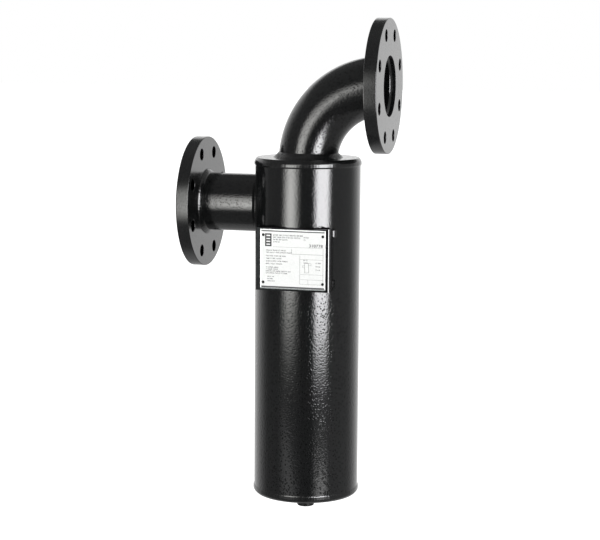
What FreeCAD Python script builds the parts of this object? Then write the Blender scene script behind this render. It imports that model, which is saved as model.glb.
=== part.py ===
"""In-line cyclone separator: an upright steel shell with a tangential inlet and an elbow outlet.

Gas enters through the inlet flange, turns round the vortex tube inside the shell, leaves its
droplets on the wall, and goes out through the tube, the elbow and the outlet flange. The drain
socket under the shell is closed by a plug.

Millimetres, +Z up. The origin is the centre of the inlet flange's mating face, and +X runs from
the inlet to the outlet. The inlet pipe lies on the X axis.
"""
import FreeCAD
import Part
import math
import os

V = FreeCAD.Vector
X_DIR = V(1, 0, 0)
Y_DIR = V(0, 1, 0)
Z_DIR = V(0, 0, 1)

# ---- driving dimensions -------------------------------------------------------------------

# shell: 159 x 4.5 steel pipe between two flat plates
shell_outer_r = 79.5
shell_wall = 4.5
vessel_height = 513.5           # over both end plates
end_plate_thickness = 8.0
end_plate_r = 76.0              # rests on the pipe's end, inside the seam weld

# round seam welds at both ends of the shell
seam_height = 10.5              # from the plate's outer face down over the pipe
seam_proud = 1.3                # how far the bead stands out from the pipe
seam_crown_r = 4.5              # rounding at the plate's edge

# DN80 PN16 plate flanges on 88.9 x 3.2 pipe
pipe_outer_r = 44.45
pipe_wall = 3.2
flange_outer_r = 100.0
flange_thickness = 19.0
flange_bore_r = 45.0
flange_edge_break = 1.0
bolt_circle_r = 80.0
bolt_hole_r = 9.0
bolt_count = 8
pipe_end_recess = 9.2           # pipe end to mating face, which leaves room for the inner weld

# where the two branches sit
inlet_face_to_shell_axis = 187.5
inlet_height = 439.0            # inlet axis over the underside of the bottom plate
elbow_bend_r = 114.3            # long-radius 90 degree bend
elbow_set_in = 7.0              # how deep its lower end sits in the top plate
vortex_tube_end_height = 365.0

# fillet welds
flange_back_weld_leg = 6.0
flange_face_weld_leg = 3.6
branch_weld_leg = 6.0
elbow_base_weld_leg = 8.0
socket_weld_leg = 4.0
weld_crown = 0.12               # crown height of a fillet weld, as a share of its face width

# G 1/2 drain socket with a collar plug and its sealing washer
socket_outer_r = 13.25
socket_length = 18.5
socket_bore_r = 10.5
washer_outer_r = 13.0
washer_thickness = 1.5
plug_collar_r = 13.2
plug_collar_thickness = 4.0
plug_thread_length = 12.0
plug_chamfer = 0.8
plug_key_across_flats = 10.0
plug_key_depth = 7.0

# nameplate and the folded bracket that carries it in front of the shell
bracket_left = -58.0            # from the shell axis
bracket_right = 54.5
bracket_bottom_height = 322.0
bracket_top_height = 415.0
bracket_face_distance = 84.0    # shell axis to the bracket's front face
bracket_sheet = 2.0
bracket_bend_r = 3.0            # outer radius of both bends
bracket_leg_lean = 2.0          # how far each leg leans in on its way to the shell
stitch_length = 14.0
stitch_end_gap = 2.0
stitch_leg = 4.0
nameplate_width = 100.0
nameplate_height = 90.0
nameplate_centre_x = -0.4       # from the shell axis
nameplate_centre_height = 369.3
nameplate_sheet = 1.2
nameplate_rim_width = 2.2
nameplate_rim_proud = 0.5
nameplate_corner_r = 1.0
rivet_pitch_x = 90.0
rivet_pitch_z = 70.0
rivet_shank_r = 1.6
rivet_head_r = 2.1
rivet_head_height = 1.1

# ---- sizes that follow from them ----------------------------------------------------------

shell_inner_r = shell_outer_r - shell_wall
pipe_inner_r = pipe_outer_r - pipe_wall
# the inlet's bore runs tangent to the shell's inside wall, on the far side
inlet_offset = shell_inner_r - pipe_inner_r
shell_x = inlet_face_to_shell_axis
shell_y = -inlet_offset
bottom_z = -inlet_height
top_z = bottom_z + vessel_height
pipe_end_x = pipe_end_recess
outlet_face_x = shell_x + elbow_bend_r + pipe_end_recess
plate_underside_z = top_z - end_plate_thickness
elbow_start_z = top_z - elbow_set_in
elbow_centre = V(shell_x + elbow_bend_r, shell_y, elbow_start_z)
outlet_z = elbow_start_z + elbow_bend_r
overrun = 30.0                  # how far a cutting tool runs past what it cuts
touch = 0.01                    # shapes closer than this are in contact
samples_per_edge = 9            # points tried on an edge, to tell whether two shapes meet along it

parts = {}


def on_shell_axis(z):
    """The point on the shell's axis at height z."""
    return V(shell_x, shell_y, z)


def tube(outer_r, inner_r, length, base, direction):
    """A straight length of pipe."""
    outer = Part.makeCylinder(outer_r, length, base, direction)
    return outer.cut(Part.makeCylinder(inner_r, length, base, direction))


def ring(profile, base, direction):
    """A closed ring: profile lists (radius, distance along the axis), or three such for an arc."""
    side = X_DIR if abs(direction.x) < 0.5 else Z_DIR

    def place(point):
        return base + side * point[0] + direction * point[1]

    edges = []
    for step in profile:
        points = [place(p) for p in step]
        if len(points) == 3:
            edges.append(Part.Arc(*points).toShape())
        else:
            edges.append(Part.makeLine(*points))
    face = Part.Face(Part.Wire(edges))
    solid = face.revolve(base, direction, 360)
    return Part.Solid(solid) if solid.ShapeType != "Solid" else solid


def crowned(start, end, root):
    """A weld's face: an arc from start to end that bulges away from the root by the crown."""
    across = (end[1] - start[1], start[0] - end[0])
    middle = ((start[0] + end[0]) / 2, (start[1] + end[1]) / 2)
    outward = across[0] * (middle[0] - root[0]) + across[1] * (middle[1] - root[1])
    rise = math.copysign(weld_crown, outward)
    return start, (middle[0] + across[0] * rise, middle[1] + across[1] * rise), end


def crowned_fillet_ring(root_r, leg, base, direction, outward=True):
    """A fillet weld round a pipe: it rises one leg along the axis and one leg across it."""
    foot = (root_r + (leg if outward else -leg), 0)
    head = (root_r, leg)
    root = (root_r, 0)
    profile = [(root, foot), crowned(foot, head, root), (head, root)]
    return ring(profile, base, direction)


# ---- shell, end plates and seam welds -----------------------------------------------------

def inlet_bore_tool(radius):
    """A round bar on the inlet's axis, from before the flange to the shell's middle."""
    return Part.makeCylinder(radius, shell_x + overrun, V(-overrun, 0, 0), X_DIR)


def elbow_bar(radius):
    """A solid bar that follows the elbow."""
    disc = Part.Face(Part.Wire(Part.makeCircle(radius, on_shell_axis(elbow_start_z), Z_DIR)))
    return disc.revolve(elbow_centre, Y_DIR, 90)


def make_shell():
    base = on_shell_axis(bottom_z + end_plate_thickness)
    length = vessel_height - 2 * end_plate_thickness
    pipe = tube(shell_outer_r, shell_inner_r, length, base, Z_DIR)
    return pipe.cut(inlet_bore_tool(pipe_outer_r))


def make_top_end_plate():
    base = on_shell_axis(plate_underside_z)
    plate = Part.makeCylinder(end_plate_r, end_plate_thickness, base, Z_DIR)
    tube_hole = Part.makeCylinder(pipe_outer_r, elbow_start_z - plate_underside_z, base, Z_DIR)
    return plate.cut(tube_hole).cut(elbow_bar(pipe_outer_r))


def make_bottom_end_plate():
    base = on_shell_axis(bottom_z)
    plate = Part.makeCylinder(end_plate_r, end_plate_thickness, base, Z_DIR)
    return plate.cut(Part.makeCylinder(socket_bore_r, end_plate_thickness, base, Z_DIR))


def make_seam_weld(plate_face_z, inward):
    """The bead that joins an end plate to the shell; inward points from the plate into the shell."""
    outer = shell_outer_r + seam_proud
    flat_end = seam_height - 2 * seam_proud
    slope = seam_crown_r * (1 - math.sqrt(0.5))
    toe = (shell_outer_r, seam_height)
    profile = [
        ((end_plate_r, 0), (outer - seam_crown_r, 0)),
        ((outer - seam_crown_r, 0), (outer - slope, slope), (outer, seam_crown_r)),
        ((outer, seam_crown_r), (outer, flat_end)),
        crowned((outer, flat_end), toe, (shell_outer_r, flat_end)),
        (toe, (shell_outer_r, end_plate_thickness)),
        ((shell_outer_r, end_plate_thickness), (end_plate_r, end_plate_thickness)),
        ((end_plate_r, end_plate_thickness), (end_plate_r, 0)),
    ]
    return ring(profile, on_shell_axis(plate_face_z), inward)


parts["shell"] = make_shell()
parts["top_end_plate"] = make_top_end_plate()
parts["bottom_end_plate"] = make_bottom_end_plate()
parts["top_seam_weld"] = make_seam_weld(top_z, Z_DIR * -1)
parts["bottom_seam_weld"] = make_seam_weld(bottom_z, Z_DIR)


# ---- flanges ------------------------------------------------------------------------------

def make_flange(face_centre, into):
    """A plate flange: face_centre is on the mating face, and into points through the plate."""
    disc = Part.makeCylinder(flange_outer_r, flange_thickness, face_centre, into)
    rims = [e for e in disc.Edges if e.Closed]
    disc = disc.makeChamfer(flange_edge_break, rims)
    disc = disc.cut(Part.makeCylinder(flange_bore_r, flange_thickness, face_centre, into))
    # the holes straddle the centre lines
    for i in range(bolt_count):
        angle = 2 * math.pi * (i + 0.5) / bolt_count
        centre = face_centre + V(0, bolt_circle_r * math.cos(angle), bolt_circle_r * math.sin(angle))
        disc = disc.cut(Part.makeCylinder(bolt_hole_r, flange_thickness, centre, into))
    return disc


inlet_face_centre = V(0, 0, 0)
outlet_face_centre = V(outlet_face_x, shell_y, outlet_z)
for name, face_centre, into in (
    ("inlet", inlet_face_centre, X_DIR),
    ("outlet", outlet_face_centre, X_DIR * -1),
):
    pipe_end = face_centre + into * pipe_end_recess
    parts[name + "_flange"] = make_flange(face_centre, into)
    parts[name + "_flange_face_weld"] = crowned_fillet_ring(
        flange_bore_r, flange_face_weld_leg, pipe_end, into * -1, outward=False)


# ---- inlet pipe, outlet elbow and vortex tube ---------------------------------------------

def make_inlet_pipe():
    """It stops at the shell's inside wall, so its far side lies in the wall as a long tongue."""
    length = shell_x - pipe_end_x
    pipe = tube(pipe_outer_r, pipe_inner_r, length, V(pipe_end_x, 0, 0), X_DIR)
    inside = Part.makeCylinder(shell_inner_r, vessel_height, on_shell_axis(bottom_z), Z_DIR)
    return pipe.cut(inside)


def make_vortex_tube():
    base_z = bottom_z + vortex_tube_end_height
    return tube(pipe_outer_r, pipe_inner_r, elbow_start_z - base_z, on_shell_axis(base_z), Z_DIR)


parts["inlet_pipe"] = make_inlet_pipe()
parts["outlet_elbow"] = elbow_bar(pipe_outer_r).cut(elbow_bar(pipe_inner_r))
parts["vortex_tube"] = make_vortex_tube()


# ---- welds where the branches meet the vessel ----------------------------------------------

def weld_in_corner(body, branch, leg, chamfer):
    """The material that fills the corner where a branch stands on a body."""
    fused = body.fuse(branch).removeSplitter()

    def on_both(point):
        vertex = Part.Vertex(point)
        return all(shape.distToShape(vertex)[0] < touch for shape in (body, branch))

    crease = [e for e in fused.Edges if all(on_both(p) for p in e.discretize(samples_per_edge))]
    filled = fused.makeChamfer(leg, crease) if chamfer else fused.makeFillet(leg, crease)
    return filled.cut(fused)


def make_elbow_base_weld():
    plate = Part.makeCylinder(end_plate_r, elbow_set_in, on_shell_axis(elbow_start_z), Z_DIR)
    return weld_in_corner(plate, elbow_bar(pipe_outer_r), elbow_base_weld_leg, chamfer=True)


def make_inlet_branch_weld():
    body = Part.makeCylinder(shell_outer_r, vessel_height, on_shell_axis(bottom_z), Z_DIR)
    branch = Part.makeCylinder(pipe_outer_r, shell_x - flange_thickness, V(flange_thickness, 0, 0), X_DIR)
    return weld_in_corner(body, branch, branch_weld_leg, chamfer=False)


def make_flange_back_weld(face_centre, into, pipe):
    disc = Part.makeCylinder(flange_outer_r, flange_thickness, face_centre, into)
    return weld_in_corner(disc, pipe, flange_back_weld_leg, chamfer=True)


straight_bar = Part.makeCylinder(pipe_outer_r, shell_x, inlet_face_centre, X_DIR)
parts["elbow_base_weld"] = make_elbow_base_weld()
parts["inlet_branch_weld"] = make_inlet_branch_weld()
parts["inlet_flange_back_weld"] = make_flange_back_weld(inlet_face_centre, X_DIR, straight_bar)
parts["outlet_flange_back_weld"] = make_flange_back_weld(
    outlet_face_centre, X_DIR * -1, elbow_bar(pipe_outer_r))


# ---- drain under the bottom plate ---------------------------------------------------------

def make_drain_plug():
    """Collar, threaded shank and a hexagonal key hole in the collar's face."""
    collar_top_z = bottom_z - socket_length - washer_thickness
    face_z = collar_top_z - plug_collar_thickness
    collar = Part.makeCylinder(plug_collar_r, plug_collar_thickness, on_shell_axis(face_z), Z_DIR)
    lower_rim = [e for e in collar.Edges if e.Closed and abs(e.CenterOfMass.z - face_z) < touch]
    collar = collar.makeChamfer(plug_chamfer, lower_rim)
    shank_length = washer_thickness + plug_thread_length
    shank = Part.makeCylinder(socket_bore_r, shank_length, on_shell_axis(collar_top_z), Z_DIR)
    corner_r = plug_key_across_flats / math.sqrt(3)
    corners = [
        on_shell_axis(face_z) + V(corner_r * math.cos(math.radians(60 * i)),
                                  corner_r * math.sin(math.radians(60 * i)), 0)
        for i in range(7)
    ]
    key_hole = Part.Face(Part.makePolygon(corners)).extrude(Z_DIR * plug_key_depth)
    return collar.fuse(shank).cut(key_hole).removeSplitter()


parts["drain_socket"] = tube(
    socket_outer_r, socket_bore_r, socket_length, on_shell_axis(bottom_z - socket_length), Z_DIR)
parts["drain_socket_weld"] = crowned_fillet_ring(
    socket_outer_r, socket_weld_leg, on_shell_axis(bottom_z), Z_DIR * -1)
parts["drain_washer"] = tube(
    washer_outer_r, socket_bore_r, washer_thickness,
    on_shell_axis(bottom_z - socket_length - washer_thickness), Z_DIR)
parts["drain_plug"] = make_drain_plug()


# ---- nameplate, its bracket and its rivets -------------------------------------------------

bracket_face_y = shell_y - bracket_face_distance
bracket_bottom_z = bottom_z + bracket_bottom_height
bracket_height = bracket_top_height - bracket_bottom_height
shell_bar = Part.makeCylinder(shell_outer_r, vessel_height, on_shell_axis(bottom_z), Z_DIR)
rivet_places = [
    V(shell_x + nameplate_centre_x + side * rivet_pitch_x / 2, bracket_face_y,
      bottom_z + nameplate_centre_height + level * rivet_pitch_z / 2)
    for level in (1, -1)
    for side in (-1, 1)
]


def folded_outline(inset):
    """The bracket's outline seen from above, moved inwards by inset: a face and two leaning legs."""
    left = shell_x + bracket_left + inset
    right = shell_x + bracket_right - inset
    front_y = bracket_face_y + inset
    bend = bracket_bend_r - inset
    ease = bend * (1 - math.sqrt(0.5))
    edges = [
        Part.makeLine(V(left + bracket_leg_lean, shell_y, 0), V(left, front_y + bend, 0)),
        Part.Arc(V(left, front_y + bend, 0), V(left + ease, front_y + ease, 0),
                 V(left + bend, front_y, 0)).toShape(),
        Part.makeLine(V(left + bend, front_y, 0), V(right - bend, front_y, 0)),
        Part.Arc(V(right - bend, front_y, 0), V(right - ease, front_y + ease, 0),
                 V(right, front_y + bend, 0)).toShape(),
        Part.makeLine(V(right, front_y + bend, 0), V(right - bracket_leg_lean, shell_y, 0)),
        Part.makeLine(V(right - bracket_leg_lean, shell_y, 0), V(left + bracket_leg_lean, shell_y, 0)),
    ]
    outline = Part.Face(Part.Wire(edges))
    outline.translate(V(0, 0, bracket_bottom_z))
    return outline.extrude(Z_DIR * bracket_height)


def rivet_shanks():
    length = 4 * bracket_sheet
    return [Part.makeCylinder(rivet_shank_r, length, p - Y_DIR * (length / 2), Y_DIR) for p in rivet_places]


def make_bracket():
    sheet = folded_outline(0).cut(folded_outline(bracket_sheet)).cut(shell_bar)
    for shank in rivet_shanks():
        sheet = sheet.cut(shank)
    return sheet


def make_nameplate():
    """A thin plate with a raised, bevelled rim."""
    left = shell_x + nameplate_centre_x - nameplate_width / 2
    low = bottom_z + nameplate_centre_height - nameplate_height / 2
    thickness = nameplate_sheet + nameplate_rim_proud
    corner = V(left, bracket_face_y - thickness, low)
    plate = Part.makeBox(nameplate_width, thickness, nameplate_height, corner)
    upright = [e for e in plate.Edges if abs(e.tangentAt(e.FirstParameter).y) > 0.5]
    plate = plate.makeFillet(nameplate_corner_r, upright)
    front = [e for e in plate.Edges if abs(e.BoundBox.YMax - corner.y) < touch]
    plate = plate.makeChamfer(nameplate_rim_proud, front)
    rim = nameplate_rim_width
    recess = Part.makeBox(nameplate_width - 2 * rim, nameplate_rim_proud, nameplate_height - 2 * rim,
                          corner + V(rim, 0, rim))
    plate = plate.cut(recess)
    for shank in rivet_shanks():
        plate = plate.cut(shank)
    return plate


def make_rivet(place):
    """A domed head on the nameplate, a shank through both sheets and a flat tail behind."""
    head_y = -nameplate_sheet
    tail_y = bracket_sheet
    tail_end = tail_y + rivet_head_height / 2
    bulge = rivet_head_r * math.sqrt(0.5)
    rise = rivet_head_height * math.sqrt(0.5)
    profile = [
        ((0, head_y - rivet_head_height), (bulge, head_y - rise), (rivet_head_r, head_y)),
        ((rivet_head_r, head_y), (rivet_shank_r, head_y)),
        ((rivet_shank_r, head_y), (rivet_shank_r, tail_y)),
        ((rivet_shank_r, tail_y), (rivet_head_r, tail_y)),
        ((rivet_head_r, tail_y), (rivet_head_r, tail_end)),
        ((rivet_head_r, tail_end), (0, tail_end)),
        ((0, tail_end), (0, head_y - rivet_head_height)),
    ]
    return ring(profile, place, Y_DIR)


def make_stitch_weld(side, level):
    """A short fillet weld between a bracket leg and the shell, near the leg's top or bottom."""
    leg_x = shell_x + (bracket_left if side < 0 else bracket_right)
    # a block in the corner outside the leg, bevelled from the leg to the shell
    reach = leg_x - shell_x - side * bracket_leg_lean
    meet_y = shell_y - math.sqrt(shell_outer_r ** 2 - reach ** 2)
    toe_x = shell_x + reach + side * stitch_leg
    toe_y = shell_y - math.sqrt(shell_outer_r ** 2 - (toe_x - shell_x) ** 2)
    heel = V(leg_x - side * 2 * bracket_sheet, meet_y + stitch_leg, 0)
    corners = [
        heel,
        V(heel.x, meet_y - stitch_leg, 0),
        V(shell_x + reach + side * stitch_leg / 4, meet_y - stitch_leg, 0),
        V(toe_x, toe_y, 0),
        V(toe_x, toe_y + stitch_leg, 0),
        heel,
    ]
    start_z = bracket_bottom_z + stitch_end_gap
    if level > 0:
        start_z = bracket_bottom_z + bracket_height - stitch_end_gap - stitch_length
    block = Part.Face(Part.makePolygon(corners))
    block.translate(V(0, 0, start_z))
    weld = block.extrude(Z_DIR * stitch_length).cut(shell_bar).cut(folded_outline(0))
    return max(weld.Solids, key=lambda solid: solid.Volume)


parts["nameplate_bracket"] = make_bracket()
for side, side_name in ((-1, "left"), (1, "right")):
    for level, level_name in ((1, "top"), (-1, "bottom")):
        parts["bracket_weld_" + side_name + "_" + level_name] = make_stitch_weld(side, level)
parts["nameplate"] = make_nameplate()
for number, place in enumerate(rivet_places, start=1):
    parts["nameplate_rivet_" + str(number)] = make_rivet(place)


# ---- export -------------------------------------------------------------------------------

os.makedirs("parts", exist_ok=True)
for name, shape in parts.items():
    solid = shape.Solids[0]
    print(name, len(shape.Solids), "solid", round(solid.Volume / 1000, 2), "cm3")
    solid.exportStep("parts/" + name + ".step")
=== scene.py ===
# %% [markdown]
# # An in-line cyclone separator in gloss black
#
# The object is a welded steel vessel: a length of 159 mm pipe stands upright between two flat
# plates, wet gas comes in through a flanged pipe at the side, and dry gas leaves through a pipe
# bend on top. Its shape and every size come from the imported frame, so this lesson is about looks:
# the paint, the weld beads, the nameplate, the rivets, and the light that makes black gloss
# paint readable at all.

# %% Load the frame
import math
import random

import bmesh
import bpy
from mathutils import Matrix, Vector


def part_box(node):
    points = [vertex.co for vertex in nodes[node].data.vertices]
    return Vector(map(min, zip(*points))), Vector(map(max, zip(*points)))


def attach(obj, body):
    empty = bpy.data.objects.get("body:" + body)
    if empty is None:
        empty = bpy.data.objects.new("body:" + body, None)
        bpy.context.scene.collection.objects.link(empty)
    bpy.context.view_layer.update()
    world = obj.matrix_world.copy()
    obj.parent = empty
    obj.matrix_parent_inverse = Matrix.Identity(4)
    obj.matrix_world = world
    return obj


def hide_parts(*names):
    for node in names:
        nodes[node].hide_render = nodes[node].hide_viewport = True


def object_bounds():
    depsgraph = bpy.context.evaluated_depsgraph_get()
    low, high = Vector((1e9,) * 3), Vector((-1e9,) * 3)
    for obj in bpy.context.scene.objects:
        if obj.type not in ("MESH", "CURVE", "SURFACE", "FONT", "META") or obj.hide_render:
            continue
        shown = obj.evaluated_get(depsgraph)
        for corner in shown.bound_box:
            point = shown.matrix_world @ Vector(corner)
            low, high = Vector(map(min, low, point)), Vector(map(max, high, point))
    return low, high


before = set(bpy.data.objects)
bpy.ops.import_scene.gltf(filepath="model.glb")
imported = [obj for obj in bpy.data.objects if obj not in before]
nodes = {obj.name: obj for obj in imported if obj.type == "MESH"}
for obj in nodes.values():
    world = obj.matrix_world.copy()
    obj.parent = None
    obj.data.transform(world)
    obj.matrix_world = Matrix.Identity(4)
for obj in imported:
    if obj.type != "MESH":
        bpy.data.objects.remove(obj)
cad_low, cad_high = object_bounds()
print("frame:", len(nodes), "nodes,", [round(v, 3) for v in cad_high - cad_low], "m")

# %% [markdown]
# ## Landmarks
#
# Everything that follows is placed from a few landmarks of the frame: the shell's axis and
# radius, the inlet pipe's axis, and the bend's centre. They are measured once, from the boxes of
# the nodes, so a change of size in the frame moves every bead and rivet with it.

# %% Measure the landmarks
MM = 0.001
Z_UP = Vector((0, 0, 1))
X_OUT = Vector((1, 0, 0))


def width(node):
    """A node's size along X."""
    low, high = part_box(node)
    return high.x - low.x


shell_low, shell_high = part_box("shell")
shell_r = width("shell") / 2
axis_x = (shell_low.x + shell_high.x) / 2
axis_y = (shell_low.y + shell_high.y) / 2
top_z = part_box("top_end_plate")[1].z
bottom_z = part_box("bottom_end_plate")[0].z
pipe_r = (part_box("inlet_pipe")[1].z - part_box("inlet_pipe")[0].z) / 2
bend_start_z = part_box("outlet_elbow")[0].z
bend_end_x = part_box("outlet_elbow")[1].x
bend_r = bend_end_x - axis_x
print("shell axis", round(axis_x, 4), round(axis_y, 4), "radius", round(shell_r, 4))
print("pipe radius", round(pipe_r, 4), "bend radius", round(bend_r, 4))

# %% [markdown]
# ## Camera
#
# The vessel is seen from a little to the outlet's side and a little above its middle, through a
# long lens. The camera is placed by its bearing and distance from the shell's axis and by its
# height over the shell's foot, and then turned: a small yaw puts the shell's axis a little right
# of centre, and a small roll levels it. A long lens keeps the flanges' ellipses nearly alike.

# %% Place the camera
CAMERA_BEARING = 14.2476
CAMERA_DISTANCE = 2.4402
CAMERA_HEIGHT = 0.6904
CAMERA_YAW = 0.2597
CAMERA_PITCH = 8.1224
CAMERA_ROLL = 0.3885
CAMERA_LENS = 97.54


def bearing(degrees, elevation=0.0):
    """A unit vector by its angle from -Y towards +X, and its angle above the horizon."""
    turn, rise = math.radians(degrees), math.radians(elevation)
    return Vector((math.sin(turn) * math.cos(rise), -math.cos(turn) * math.cos(rise), math.sin(rise)))


def into_scene(name, data):
    """A new object at the origin, linked to the scene."""
    made = bpy.data.objects.new(name, data)
    bpy.context.scene.collection.objects.link(made)
    return made


def make_camera():
    """The camera, turned in three steps from looking straight at the shell's axis."""
    away = bearing(CAMERA_BEARING)
    place = Vector((axis_x, axis_y, bottom_z + CAMERA_HEIGHT)) + away * CAMERA_DISTANCE
    back = bearing(CAMERA_BEARING + CAMERA_YAW, CAMERA_PITCH)
    right = Z_UP.cross(back).normalized()
    up = back.cross(right)
    roll = Matrix.Rotation(math.radians(CAMERA_ROLL), 3, back)
    axes = Matrix((roll @ right, roll @ up, back)).transposed()
    lens = bpy.data.cameras.new("studio_camera")
    lens.lens = CAMERA_LENS
    camera = into_scene("studio_camera", lens)
    camera.matrix_world = Matrix.Translation(place) @ axes.to_4x4()
    bpy.context.scene.camera = camera
    return place


camera_place = make_camera()
print("camera at", [round(v, 3) for v in camera_place])

# %% [markdown]
# ## Small helpers for node trees
#
# Shader trees, the world and Geometry Nodes all grow from the same two moves: add a node, and
# feed its sockets with numbers or with other sockets. A few short helpers, built on those two,
# keep every tree that follows readable.

# %% Node helpers


def feed(tree, socket, value):
    """Links a socket to another, or sets its value."""
    if isinstance(value, bpy.types.NodeSocket):
        tree.links.new(value, socket)
    elif value is not None:
        socket.default_value = value


def add(tree, kind, inputs=None, **settings):
    """Adds a node, with its own settings and its inputs by name or by number."""
    made = tree.nodes.new(kind)
    for name, value in settings.items():
        setattr(made, name, value)
    for name, value in (inputs or {}).items():
        feed(tree, made.inputs[name], value)
    return made


def maths(tree, operation, *values):
    """One Math node; gives its output."""
    made = tree.nodes.new("ShaderNodeMath")
    made.operation = operation
    for socket, value in zip(made.inputs, values):
        feed(tree, socket, value)
    return made.outputs[0]


def vectors(tree, operation, *values, scale=None):
    """One Vector Math node; gives its vector, or its value where it has one."""
    made = tree.nodes.new("ShaderNodeVectorMath")
    made.operation = operation
    for socket, value in zip(made.inputs, values):
        feed(tree, socket, value)
    if scale is not None:
        feed(tree, made.inputs["Scale"], scale)
    return made.outputs["Value" if operation in ("DOT_PRODUCT", "LENGTH") else "Vector"]


def product(tree, *values):
    """The product of all its values."""
    result = values[0]
    for value in values[1:]:
        result = maths(tree, "MULTIPLY", result, value)
    return result


def part(tree, vector, axis):
    """One of a vector's three numbers."""
    return add(tree, "ShaderNodeSeparateXYZ", {0: vector}).outputs[axis]


def object_place(tree, axis=None):
    """The object coordinates, or one of them."""
    place = add(tree, "ShaderNodeTexCoord").outputs["Object"]
    return place if axis is None else part(tree, place, axis)


def noise(tree, place, scale, detail=2.0, roughness=0.5):
    """A noise texture's value, from 0 to 1."""
    return add(tree, "ShaderNodeTexNoise", {"Vector": place, "Scale": scale, "Detail": detail,
                                            "Roughness": roughness}).outputs[0]


def smooth_step(tree, value, start, end):
    """0 before start, 1 after end, and a smooth curve between."""
    return add(tree, "ShaderNodeMapRange", {"Value": value, "From Min": start, "From Max": end},
               interpolation_type="SMOOTHSTEP").outputs["Result"]


def ramp(tree, value, start, end, low, high):
    """A straight line from low at start to high at end, and level outside."""
    return add(tree, "ShaderNodeMapRange",
               {"Value": value, "From Min": start, "From Max": end,
                "To Min": low, "To Max": high}).outputs["Result"]


def mix_values(tree, share, start, end):
    """From start to end by a share."""
    made = add(tree, "ShaderNodeMix", data_type="FLOAT")
    for number, value in ((0, share), (2, start), (3, end)):
        feed(tree, made.inputs[number], value)
    return made.outputs[0]


def mix_colours(tree, share, start, end):
    """From one colour to another by a share."""
    made = add(tree, "ShaderNodeMix", data_type="RGBA")
    for number, value in ((0, share), (6, start), (7, end)):
        feed(tree, made.inputs[number], value)
    return made.outputs[2]


def keep(tree, geometry, name, value, kind="FLOAT"):
    """Stores a value on every point of a geometry."""
    return add(tree, "GeometryNodeStoreNamedAttribute",
               {"Geometry": geometry, "Name": name, "Value": value},
               data_type=kind, domain="POINT").outputs[0]


def recall(tree, name, kind="FLOAT"):
    """Reads a stored attribute back."""
    return add(tree, "GeometryNodeInputNamedAttribute", {"Name": name},
               data_type=kind).outputs["Attribute"]


def new_material(name):
    """A material, its tree and its Principled BSDF."""
    material = bpy.data.materials.new(name)
    material.use_nodes = True
    return material, material.node_tree, material.node_tree.nodes["Principled BSDF"]


def new_tree(name, kind, inputs, outputs):
    """A node group with sockets given as {name: (type, default)}, and its two end nodes."""
    tree = bpy.data.node_groups.new(name, kind)
    for direction, sockets in (("INPUT", inputs), ("OUTPUT", outputs)):
        for title, (socket_type, default) in sockets.items():
            made = tree.interface.new_socket(title, in_out=direction, socket_type=socket_type)
            if default is not None:
                made.default_value = default
    return tree, tree.nodes.new("NodeGroupInput").outputs, tree.nodes.new("NodeGroupOutput").inputs


FLOAT = "NodeSocketFloat"
INTEGER = "NodeSocketInt"
VECTOR = "NodeSocketVector"
TEXT = "NodeSocketString"
GEOMETRY = "NodeSocketGeometry"
MATERIAL = "NodeSocketMaterial"

# %% [markdown]
# ## The studio: a white wall, a pale floor and a dark ceiling
#
# Gloss black paint has almost no colour of its own. What is seen is the room in it, so the room
# is the finish. The wall behind the vessel is bright and gives every pipe its light rims, and
# turns the flange faces, seen at a grazing angle, into light grey. The ceiling and the side
# towards the camera are dark, a little less so on the right, so that the paint between the rims
# stays black. A world shader can say all of this by direction. Only reflections see this room:
# the camera sees plain white, and matt surfaces such as the nameplate get an even fill.

# %% Light the room
WALL_BRIGHTNESS = 1.3
DARK_LEFT = 0.24
DARK_FRONT = 0.13
DARK_RIGHT = 0.41
FILL_LIGHT = 1.15
# the wall's light fades between two angles at its sides, its top and its foot, in degrees
WALL_HALF_WIDTH = (27.0, 84.0)
WALL_TOP = (24.0, 34.0)
WALL_FOOT = (-34.0, -4.0)
WALL_TURN = 4.5
FOOT_LEVEL = 0.35
# how far to the side the dark front gives way to the two dark sides, as a sine
FRONT_EDGE = (0.15, 0.5)
SIDE_EDGE = 0.3


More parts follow.
